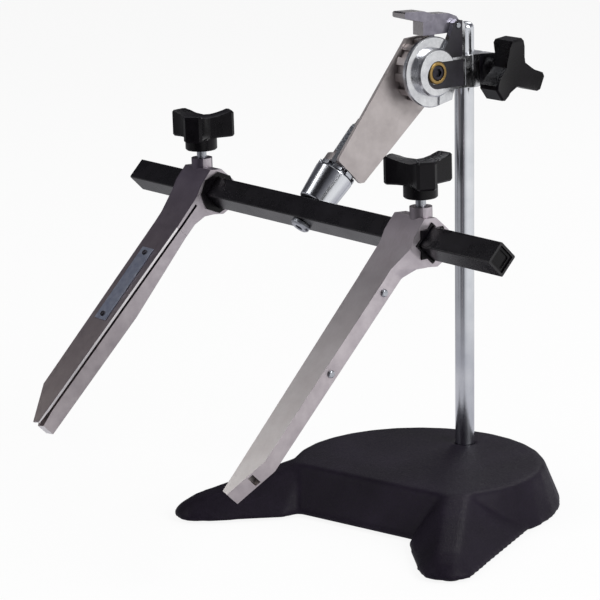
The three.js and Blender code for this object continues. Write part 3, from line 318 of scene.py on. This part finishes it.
satin_alloy = die_cast("satin_die_cast", ("#aaa3a2", "#beb7b6"), (0.42, 0.55), 22, 0.05)
polished_alloy = die_cast("polished_die_cast", ("#bfc0c4", "#dedfe1"), (0.14, 0.28), 9, 0.03)
lever_alloy = die_cast("lever_die_cast", ("#a8a4a4", "#c0bcbb"), (0.22, 0.36), 12, 0.03)
# The lever's right flank is coloured darker, as painted shade.
lever_side_painted_shade = die_cast("lever_cast_side_painted_shade", ("#77747f", "#93909a"), (0.3, 0.42), 7, 0.04)
print("alloys:", satin_alloy.name, polished_alloy.name, lever_alloy.name, lever_side_painted_shade.name)

# %% [markdown]
# The arms need more than one finish each. Their upper faces are tumbled, with painted shade that darkens
# them towards the bar. Their milled sides are coloured brighter as painted light, the strip over the slot
# is a painted highlight, and the tips are a matt white as painted light. All are the alloy from above.
# The left arm looks darker, so it has darker tones, as painted shade.

# %% The arms' alloys
# The left arm's darker tones are painted shade and the right arm's lighter tones are painted light.
left_arm_shaded_alloy = die_cast("left_arm_shaded_die_cast", ("#c6c0c2", "#dcd7d6"), (0.4, 0.52), 20, 0.05,
                          ("#77717f", "#bcb5b4"))
right_arm_lit_alloy = die_cast("right_arm_lit_die_cast", ("#e4dfde", "#f4f1f0"), (0.4, 0.52), 20, 0.05,
                           ("#969198", "#fffdfb"))
# The arms' milled flanks are coloured brighter, as painted light.
milled_side_painted_light = die_cast("milled_side_painted_light", ("#c9c4c6", "#e2dede"), (0.36, 0.46), 14, 0.03,
                       ("#e0dce2", "#e4dfe0"))
# The strip over the left slot is coloured bright, as a painted highlight.
slot_rim_painted_highlight = die_cast("slot_rim_painted_highlight", ("#e6e2e4", "#fbf8f8"), (0.3, 0.4), 14, 0.02)
# The arms' tips are coloured near white as painted light; their high roughness is their own.
tip_painted_light = die_cast("tip_painted_light", ("#efecec", "#fdfcfc"), (0.7, 0.85), 8, 0.06)
print("arms:", left_arm_shaded_alloy.name, right_arm_lit_alloy.name, milled_side_painted_light.name, slot_rim_painted_highlight.name, tip_painted_light.name)

# %% [markdown]
# The knobs are moulded phenolic, a hard black plastic with a dull gloss, and so are the collars in the
# arms and the plugs in the bar's ends. The crossbar is steel tube under a thin black powder coat, which
# has the orange-peel ripple of paint that melted and flowed, and the feet are rubber. None is a bare
# metal, so a glossy coat over a black colour makes them all, with an IOR near 1.5. They differ in gloss
# and ripple.

# %% Black plastics and powder coat
RUBBED_MM = 18
RUBBED_RANGE = (0.35, 0.72)


def black_coat(name, tones, roughness, ripple_mm, ripple_depth_mm, ior=1.5, gloss=0.5):
    """A black plastic or paint, rubbed in places, with a ripple of a real size."""
    material, tree, shader = new_material(name, Roughness=roughness[0], IOR=ior, Specular_IOR_Level=gloss)
    place = on_piece(tree)
    ripple = add(tree, "ShaderNodeTexNoise", Vector=place, Scale=per_mm(ripple_mm), Detail=2.0).outputs[0]
    rubbed = add(tree, "ShaderNodeTexNoise", Vector=place, Scale=per_mm(RUBBED_MM), Detail=5.0,
                 Roughness=0.65).outputs[0]
    patterned(tree, shader, colour=(rubbed, list(zip(RUBBED_RANGE, tones))),
              roughness=(rubbed, *roughness), relief=(ripple, ripple_depth_mm, 0.25))
    return material


phenolic = black_coat("moulded_phenolic", ("#050406", "#0e0b10"), (0.22, 0.36), 3.0, 0.04, 1.55, 0.16)
powder_coat = black_coat("black_powder_coat", ("#0a080c", "#131016"), (0.24, 0.32), 2.6, 0.03, 1.5, 0.42)
rubber = black_coat("moulded_rubber", ("#131313", "#1e1e1e"), (0.75, 0.9), 1.2, 0.05, 1.52)
print("black finishes:", phenolic.name, powder_coat.name, rubber.name)

# %% [markdown]
# Small turned parts have a finish of their own. Zinc plate on bolts and studs is a bright grey with a
# faint blue, black oxide on the socket screw and the rivets is a dark, oily grey, and the bushings are
# turned brass. Turning leaves rings round the axis. They are too fine to be told apart at this size, so a
# fine noise stands for them.

# %% Turned metals
TOOL_MARK_MM, TINT_MM = 0.7, 6


def turned_metal(name, tones, roughness):
    """A small turned part with fine tool marks."""
    material, tree, shader = new_material(name, Metallic=1.0, Roughness=roughness[0])
    place = on_piece(tree)
    marks = add(tree, "ShaderNodeTexNoise", Vector=place, Scale=per_mm(TOOL_MARK_MM), Detail=3.0).outputs[0]
    tint = add(tree, "ShaderNodeTexNoise", Vector=place, Scale=per_mm(TINT_MM), Detail=2.0).outputs[0]
    patterned(tree, shader, colour=(tint, list(zip((NOISE_LOW, NOISE_HIGH), tones))),
              roughness=(marks, *roughness), relief=(marks, 0.02, 0.3))
    return material


zinc = turned_metal("zinc_plate", ("#9a9da3", "#b9bcc2"), (0.25, 0.4))
black_oxide = turned_metal("black_oxide_steel", ("#2b2a2f", "#45434a"), (0.3, 0.45))
brass = turned_metal("turned_brass", ("#8f7442", "#ab8f5e"), (0.28, 0.4))
bare_plate = turned_metal("brushed_aluminium_plate", ("#a4abc2", "#c2c8d8"), (0.28, 0.4))
print("turned finishes:", zinc.name, black_oxide.name, brass.name, bare_plate.name)

# %% [markdown]
# Nothing real has a knife edge: castings are rounded by their moulds, turned parts are broken with a
# file. A rounded edge catches a thin line of light, and that line is most of what makes a render look
# solid. A shader can fake it, but a bevel is real geometry and shows in the outline too. So each solid is
# copied, its flat faces are merged, and its sharp edges get a bevel.

# %% Rounded copies
WELD_M = 1e-6
FLAT_WITHIN = math.radians(0.6)
SHARP_FROM = math.radians(32)


def finished_copy(node, edge_mm, facets, reshape=None):
    """A copy of a solid with merged flats and rounded edges, after a change of shape if it has one."""
    mesh = nodes[node].data.copy()
    shape = bmesh.new()
    shape.from_mesh(mesh)
    bmesh.ops.remove_doubles(shape, verts=shape.verts, dist=WELD_M)
    bmesh.ops.dissolve_limit(shape, angle_limit=FLAT_WITHIN, verts=shape.verts, edges=shape.edges)
    if reshape:
        reshape(shape)
    shape.to_mesh(mesh)
    shape.free()
    mesh.materials.clear()
    piece = bpy.data.objects.new(node + "_finished", mesh)
    bpy.context.scene.collection.objects.link(piece)
    for polygon in mesh.polygons:
        polygon.use_smooth = True
    mesh.set_sharp_from_angle(angle=SHARP_FROM)
    edge = piece.modifiers.new("broken_edge", "BEVEL")
    edge.width = edge_mm * MM
    edge.segments = facets
    edge.limit_method = "ANGLE"
    edge.angle_limit = SHARP_FROM
    edge.use_clamp_overlap = True
    edge.miter_outer = "MITER_ARC"
    normals = piece.modifiers.new("even_normals", "WEIGHTED_NORMAL")
    normals.keep_sharp = False
    return piece


print("edges sharper than", round(math.degrees(SHARP_FROM)), "degrees are rounded")

# %% [markdown]
# Some copies need a corner or an edge of paint where the solid has one long face. Loops could be added to
# the whole mesh; one flat cut across its faces does it, and leaves the mesh closed.

# %% Cuts across a mesh


def split_across(shape, reference, places_mm):
    """Cuts a mesh's faces at places along the Y axis of a frame of reference."""
    for y in places_mm:
        bmesh.ops.bisect_plane(shape, geom=shape.verts[:] + shape.edges[:] + shape.faces[:],
                               plane_co=reference @ Vector((0, y * MM, 0)),
                               plane_no=reference.col[1].to_3d())


print("cutting helper:", split_across.__name__)

# %% [markdown]
# The left arm is a channel casting: its slot lies close under the upper face, and a keel hangs below that
# gets deeper down the arm. The solid has a plainer section. A new mesh could be drawn for it, but the
# solid already has every hole in its place. So its copy is reshaped: the slot's levels are moved up, each
# to its own new height, and the underside is pulled down more and more along the arm. Two cuts give it
# corners where the keel starts and where it has its full depth.

# %% The left arm's section
LEFT_ARM_AT_MM = -137.3
LEFT_ARM = BAR_FRAME @ Matrix.Translation((LEFT_ARM_AT_MM * MM, 0, 0))
HUB_END_MM = -20.5
UNDERSIDE_MM, UPPER_FACE_MM = 1.0, 12.5
SLOT_LEVELS_MM = ((2.0, 7.2), (4.4, 9.3), (9.6, 11.5), (12.0, 12.6))
SAME_LEVEL_MM = 0.05
KEEL_FROM_MM, KEEL_TO_MM, KEEL_MM = -46.5, -125.0, 5.9
OUTER_SIDE_MM, INNER_SIDE_MM = -15.0, 13.0


def share_between(value, start, end):
    """How far a value has come from start to end, from 0 to 1."""
    return min(1.0, max(0.0, (value - start) / (end - start)))


def slot_level(z):
    """The height of a point of the left arm's slot, moved up towards the arm's face."""
    for (low, low_new), (high, high_new) in zip(SLOT_LEVELS_MM, SLOT_LEVELS_MM[1:]):
        if z <= high + SAME_LEVEL_MM:
            return low_new + (high_new - low_new) * (z - low) / (high - low)
    return z


def deepen_left_arm(shape):
    """Gives the left arm its keel under the slot, and brings the slot near the upper face."""
    split_across(shape, LEFT_ARM, (KEEL_FROM_MM, KEEL_TO_MM))
    inverse = LEFT_ARM.inverted()
    for vertex in shape.verts:
        x, y, z = (inverse @ vertex.co) / MM
        if y < HUB_END_MM and z < UNDERSIDE_MM:
            down_arm = share_between(y, KEEL_FROM_MM, KEEL_TO_MM)
            z -= KEEL_MM * down_arm * share_between(x, OUTER_SIDE_MM, INNER_SIDE_MM)
        elif y < HUB_END_MM and z < UPPER_FACE_MM:
            z = slot_level(z)
        vertex.co = LEFT_ARM @ (Vector((x, y, z)) * MM)


print("the keel is", KEEL_MM, "mm deep from", -KEEL_TO_MM, "mm down the arm")

# %% [markdown]
# Each solid has a material slot in the record, such as chrome or bar_paint. One table says which finish a
# slot takes, and a short one names the pieces that have a finish of their own. The edges are as wide as
# on the real parts: wide on castings, narrow on tube, and a quarter of a millimetre on bolts and pins.
# They could all be one width, but then large castings would look machined.

# %% Finishes and edges
FINISHES = {
    "base_paint": enamel, "foot_rubber": rubber, "chrome": chrome, "plated_steel": zinc,
    "polished_casting": polished_alloy, "brass": brass, "dark_steel": black_oxide,
    "satin_casting": satin_alloy, "knob_plastic": phenolic, "bar_paint": powder_coat,
    "bare_plate": bare_plate,
}
OWN_FINISH = {
    "arm_left_casting": left_arm_shaded_alloy, "arm_right_casting": right_arm_lit_alloy,
    "tilt_lever": lever_alloy, "tilt_drum": satin_alloy,
}
EDGE_MM = {
    "clamp_casting": 0.8, "boom_casting": 1.8, "tilt_lever": 0.7, "arm_left_casting": 0.7,
    "arm_right_casting": 0.7, "crossbar": 0.3, "sleeve": 0.5, "index_flange": 0.35, "index_latch": 0.3,
    "clamp_knob": 0.8, "arm_left_knob": 0.8, "arm_right_knob": 0.8, "spring_rail": 0.4, "tilt_drum": 0.3,
}
SMALL_EDGE_MM = 0.25
WIDE_FACETS, SMALL_FACETS = 3, 2
print("slots:", len(FINISHES), "edges with a width of their own:", len(EDGE_MM))

# %% [markdown]
# Now each copy takes its solid's place. It rides on the same body, so it moves with the same joint. It
# could be parented to the solid instead, but settle also hides the solid. The clamp's side is cut first
# at both edges of the strip in front of the post, where paint will end later.

# %% Pieces in place of their solids
RECORD = frame["record"]
BODY_OF = {node: body for body, members in RECORD["behaviour"]["bodies"].items() for node in members}
SLOT_OF = {part["node"]: part["material_slot"] for part in RECORD["subparts"]}
# The bare strip in front of the post, where the recess paint stops, is a painted highlight.
POST_HIGHLIGHT_STRIP_MM = (-12.0, -2.5)
RESHAPE = {
    "arm_left_casting": deepen_left_arm,
    "clamp_casting": lambda shape: split_across(shape, HEAD_FRAME, POST_HIGHLIGHT_STRIP_MM),
}


def settle(piece, node):
    """Puts a finished piece in place of its solid, on the solid's body and with its finish."""
    piece.data.materials.clear()
    piece.data.materials.append(OWN_FINISH.get(node, FINISHES[SLOT_OF[node]]))
    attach(piece, BODY_OF[node])
    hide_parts(node)
    return piece


finished = {}
for node in nodes:
    if node != "base_casting":
        facets = WIDE_FACETS if node in EDGE_MM else SMALL_FACETS
        piece = finished_copy(node, EDGE_MM.get(node, SMALL_EDGE_MM), facets, RESHAPE.get(node))
        finished[node] = settle(piece, node)
print("finished pieces:", len(finished))

# %% [markdown]
# The base comes out of a sand mould, so nothing on it is sharp: its legs flow into its walls. A bevel
# rounds each edge by itself, and can't do that. So the base is remade as an even net of small squares,
# and the net is relaxed a few times, as wet plaster is wiped with a sponge. The rim of the post's hole is
# machined, so it is left as it is.

# %% The cast base
SAND_NET_MM = 2.2
SPONGE_ROUNDS = 5
MACHINED_RADIUS_MM = 14.0


def sand_cast_copy(node):
    """A copy of a solid as a fine net with every edge and corner softened."""
    piece = bpy.data.objects.new(node + "_finished", nodes[node].data.copy())
    bpy.context.scene.collection.objects.link(piece)
    net = piece.modifiers.new("sand_net", "REMESH")
    net.mode = "VOXEL"
    net.voxel_size = SAND_NET_MM * MM
    mesh = bpy.data.meshes.new_from_object(piece.evaluated_get(bpy.context.evaluated_depsgraph_get()))
    piece.modifiers.clear()
    piece.data = mesh
    shape = bmesh.new()
    shape.from_mesh(mesh)
    soft = [v for v in shape.verts if (v.co - POST_FOOT).to_2d().length > MACHINED_RADIUS_MM * MM]
    for _ in range(SPONGE_ROUNDS):
        bmesh.ops.smooth_vert(shape, verts=soft, factor=0.5, use_axis_x=True, use_axis_y=True,
                              use_axis_z=True)
    for face in shape.faces:
        face.smooth = True
    shape.to_mesh(mesh)
    shape.free()
    return piece


finished["base_casting"] = settle(sand_cast_copy("base_casting"), "base_casting")
print("the base's net has", len(finished["base_casting"].data.polygons), "faces")

# %% [markdown]
# The clamp's side has a shallow recess between two polished rims, and the recess is painted black. The
# paint could be a piece of its own, but it has no thickness to see, so some faces of the casting get a
# second material. Only the flat floor of the recess takes it, except for a strip in front of the post that
# stays bare polished metal as a painted highlight. Its faces are found by where they lie and look in the
# head's own frame.

# %% Paint in the clamp's recess
RECESS_FLOORS_MM = (12.9, 11.4)
FLOOR_TOLERANCE_MM = 0.2
FLAT_ON = 0.95
recess_paint = black_coat("recess_paint", ("#0f0d13", "#1f1c26"), (0.35, 0.5), 1.6, 0.04)


def coat_faces(piece, material, reference, chosen):
    """Gives a second material to the faces that pass a test of centre in mm and normal, in a frame."""
    piece.data.materials.append(material)
    index = len(piece.data.materials) - 1
    inverse = reference.inverted()
    count = 0
    for polygon in piece.data.polygons:
        centre = (inverse @ polygon.center) / MM
        normal = inverse.to_3x3() @ polygon.normal
        if chosen(centre, normal):
            polygon.material_index = index
            count += 1
    print(piece.name, "has", count, "faces in", material.name)


def in_recess(centre, normal):
    """Whether a face is the flat floor of a recess in the clamp's side, outside the painted highlight strip."""
    on_floor = any(abs(centre.x - floor_mm) < FLOOR_TOLERANCE_MM for floor_mm in RECESS_FLOORS_MM)
    return normal.x > FLAT_ON and on_floor and not POST_HIGHLIGHT_STRIP_MM[0] < centre.y < POST_HIGHLIGHT_STRIP_MM[1]


coat_faces(finished["clamp_casting"], recess_paint, HEAD_FRAME, in_recess)

# %% [markdown]
# The lever and the arms are each one casting, but some of their faces get another colour: the lever's
# right flank is darker as painted shade, the arms' milled flanks are brighter as painted light, their
# slanting tips are a matt white as painted light, and the strip over the left slot is a painted
# highlight. The same function coats them. Each test says in words and numbers which faces it means.

# %% Painted light and shade on the lever and the arms
SIDEWAYS = 0.9
SLANTING = 0.2
END_ON = 0.6
TIP_FROM_MM = -200
RIM_FROM_MM = 11


def right_flank(centre, normal):
    """Whether a face looks to the right."""
    return normal.x > SIDEWAYS


def either_flank(centre, normal):
    """Whether a face looks to the right or to the left."""
    return abs(normal.x) > SIDEWAYS


def tip_faces(centre, normal):
    """Whether a face is a slanting or end-on cut at an arm's tip."""
    return centre.y < TIP_FROM_MM and (SLANTING < abs(normal.x) < SIDEWAYS or normal.y < -END_ON)


def over_the_slot(centre, normal):
    """Whether a face is the strip of the left arm's flank between its slot and its upper face."""
    return normal.x > SIDEWAYS and centre.z > RIM_FROM_MM and centre.y < KEEL_FROM_MM


coat_faces(finished["tilt_lever"], lever_side_painted_shade, HEAD_FRAME, right_flank)
for arm in ("arm_left_casting", "arm_right_casting"):
    coat_faces(finished[arm], milled_side_painted_light, BAR_FRAME, either_flank)
    coat_faces(finished[arm], tip_painted_light, BAR_FRAME, tip_faces)
coat_faces(finished["arm_left_casting"], slot_rim_painted_highlight, BAR_FRAME, over_the_slot)

# %% [markdown]
# What polished metal looks like is what it reflects, so the room round the holder is designed. It is
# bright on the right, grey on the left, and has one dark card in front, which draws the dark stripe down
# the post. Real walls and cards could stand round the holder, but they would be seen from other sides. So
# the room is a brightness for each direction in plan, which the floor and the world both use for
# reflections.

# %% The room's brightness
DARK_CARD, CARD_EDGE = math.radians(-80), 0.86
BRIGHT_SIDE = math.radians(28)
SIDE_TONES = [(0.0, "#a9a9ad"), (0.35, "#8e8e93"), (0.6, "#d4d4d6"), (0.85, "#ffffff")]
CARD_TONES = [(0.15, "#ffffff"), (0.5, "#6a6870"), (1.0, "#55535b")]


def towards(tree, direction, angle):
    """How nearly a direction in plan points at an angle, from -1 to 1."""
    aim = (math.cos(angle), math.sin(angle), 0.0)
    flat = add(tree, "ShaderNodeVectorMath", {"operation": "MULTIPLY"}, _0=direction, _1=(1.0, 1.0, 0.0))
    unit = add(tree, "ShaderNodeVectorMath", {"operation": "NORMALIZE"}, _0=flat.outputs[0])
    return add(tree, "ShaderNodeVectorMath", {"operation": "DOT_PRODUCT"}, _0=unit.outputs[0],
               _1=aim).outputs["Value"]


def room_light(tree, direction):
    """The room's brightness in a direction in plan."""
    to_bright = add(tree, "ShaderNodeMapRange", Value=towards(tree, direction, BRIGHT_SIDE), From_Min=-1)
    to_card = add(tree, "ShaderNodeMapRange", Value=towards(tree, direction, DARK_CARD),
                  From_Min=CARD_EDGE)
    side = add(tree, "ShaderNodeValToRGB", stops=SIDE_TONES, Fac=to_bright.outputs[0])
    card = add(tree, "ShaderNodeValToRGB", stops=CARD_TONES, Fac=to_card.outputs[0])
    return add(tree, "ShaderNodeMix", {"data_type": "RGBA", "blend_type": "MULTIPLY"}, _0=1.0,
               _6=side.outputs["Color"], _7=card.outputs["Color"]).outputs[2]


print("the card is", round(2 * math.degrees(math.acos(CARD_EDGE))), "degrees wide")

# %% [markdown]
# The holder stands on a pale sweep of paper. In the picture it is white, but it still takes the holder's
# soft shadow: most of what a camera ray or a mirrored ray sees is a white glow, and the rest is plain
# paper. In reflections the glow has the room's brightness, and an even pale grey near the post, where the
# sweep is well lit.

# %% Paper for the floor
PAPER_GLOW = 0.9
LIT_FLOOR_M, FADED_M = 0.36, 0.72
floor_material = bpy.data.materials.new("pale_floor")
tree = empty_tree(floor_material)
path = add(tree, "ShaderNodeLightPath")
seen = add(tree, "ShaderNodeMath", {"operation": "ADD", "use_clamp": True},
           _0=path.outputs["Is Camera Ray"], _1=path.outputs["Is Glossy Ray"])
seen = add(tree, "ShaderNodeMath", {"operation": "ADD", "use_clamp": True},
           _0=seen.outputs[0], _1=path.outputs["Is Transmission Ray"])
share = add(tree, "ShaderNodeMath", {"operation": "MULTIPLY"}, _0=seen.outputs[0], _1=PAPER_GLOW)
where = add(tree, "ShaderNodeTexCoord")
away = add(tree, "ShaderNodeVectorMath", {"operation": "SUBTRACT"}, _0=where.outputs["Object"],
           _1=tuple(POST_FOOT))
distance = add(tree, "ShaderNodeVectorMath", {"operation": "LENGTH"}, _0=away.outputs[0])
fade = add(tree, "ShaderNodeMapRange", Value=distance.outputs["Value"], From_Min=LIT_FLOOR_M,
           From_Max=FADED_M)
mirrored = add(tree, "ShaderNodeMix", {"data_type": "RGBA"}, _0=fade.outputs[0], _6=linear("#cdccd2"),
               _7=room_light(tree, away.outputs[0]))
glow = add(tree, "ShaderNodeMix", {"data_type": "RGBA"}, _0=path.outputs["Is Glossy Ray"],
           _6=(1, 1, 1, 1), _7=mirrored.outputs[2])
paper = add(tree, "ShaderNodeBsdfDiffuse", Color=linear("#f2f2f2"))
white = add(tree, "ShaderNodeEmission", Color=glow.outputs[2], Strength=1.0)
mixed = add(tree, "ShaderNodeMixShader", _0=share.outputs[0], _1=paper.outputs[0], _2=white.outputs[0])
add(tree, "ShaderNodeOutputMaterial", Surface=mixed.outputs[0])
print(floor_material.name, "has", len(tree.nodes), "nodes")

# %% [markdown]
# The sweep itself is one flat sheet, wide enough to fill the picture from any side. It isn't part of the
# holder, so it has no body and never moves.

# %% Floor
FLOOR_HALF_M = 7.0
sheet = bmesh.new()
bmesh.ops.create_grid(sheet, x_segments=4, y_segments=4, size=FLOOR_HALF_M)
floor_mesh = bpy.data.meshes.new("floor")
sheet.to_mesh(floor_mesh)
sheet.free()
floor_mesh.materials.append(floor_material)
floor = bpy.data.objects.new("floor", floor_mesh)
bpy.context.scene.collection.objects.link(floor)
print("floor spans", floor_mesh.vertices[0].co.to_tuple(1), "to", floor_mesh.vertices[-1].co.to_tuple(1))

# %% [markdown]
# Above the floor, the world does the same. The camera sees plain white, mirrored rays see the room under
# a ceiling that is darker half way up, and everything else gets a soft even light. A picture of a real
# studio could be wrapped round the scene instead, but this one can be tuned by a few colours.

# %% World
AMBIENT_LIGHT = 0.42
CEILING_TONES = [(0.0, "#ffffff"), (0.3, "#808086"), (0.7, "#5e5e64"), (0.95, "#d0d0d0")]
world = bpy.data.worlds.new("studio")
bpy.context.scene.world = world
tree = empty_tree(world)
path = add(tree, "ShaderNodeLightPath")
direction = add(tree, "ShaderNodeTexCoord").outputs["Generated"]
height = add(tree, "ShaderNodeSeparateXYZ", Vector=direction)
ceiling = add(tree, "ShaderNodeValToRGB", stops=CEILING_TONES, Fac=height.outputs["Z"])
room = add(tree, "ShaderNodeMix", {"data_type": "RGBA", "blend_type": "MULTIPLY"}, _0=1.0,
           _6=room_light(tree, direction), _7=ceiling.outputs["Color"])
reflected = add(tree, "ShaderNodeBackground", Color=room.outputs[2], Strength=1.0)
ambient = add(tree, "ShaderNodeBackground", Color=(1, 1, 1, 1), Strength=AMBIENT_LIGHT)
backdrop = add(tree, "ShaderNodeBackground", Color=(1, 1, 1, 1), Strength=1.0)
lit = add(tree, "ShaderNodeMixShader", _0=path.outputs["Is Glossy Ray"], _1=ambient.outputs[0],
          _2=reflected.outputs[0])
shown = add(tree, "ShaderNodeMixShader", _0=path.outputs["Is Camera Ray"], _1=lit.outputs[0],
            _2=backdrop.outputs[0])
add(tree, "ShaderNodeOutputWorld", Surface=shown.outputs[0])
print(world.name, "has", len(tree.nodes), "nodes")

# %% [markdown]
# Three large soft lamps light it, as in a product photograph: a key from high on the right, a weaker fill
# from the left and a rim from behind. Small lamps would give hard shadows and pinpoint highlights. Large
# ones give soft shadows and long highlights on metal.

# %% Lamps
MIDDLE = (0.0, 0.04, 0.2)


def soft_lamp(name, place, size_m, watts):
    """A square area lamp that points at the holder's middle."""
    data = bpy.data.lights.new(name, "AREA")
    data.size = size_m
    data.energy = watts
    lamp = bpy.data.objects.new(name, data)
    bpy.context.scene.collection.objects.link(lamp)
    aim = (Vector(place) - Vector(MIDDLE)).to_track_quat("Z", "Y")
    lamp.matrix_world = Matrix.Translation(place) @ aim.to_matrix().to_4x4()
    return lamp


lamps = [
    soft_lamp("key", (1.7, 0.1, 1.3), 0.9, 27),
    soft_lamp("fill", (-1.3, -1.3, 1.6), 1.2, 12),
    soft_lamp("rim", (-0.4, 1.8, 1.6), 0.9, 10),
]
bpy.context.scene.view_settings.view_transform = "Standard"
print("lamps:", [lamp.name for lamp in lamps])

# %% [markdown]
# Last, the scene is brought up to date.

# %% Finish
bpy.context.view_layer.update()
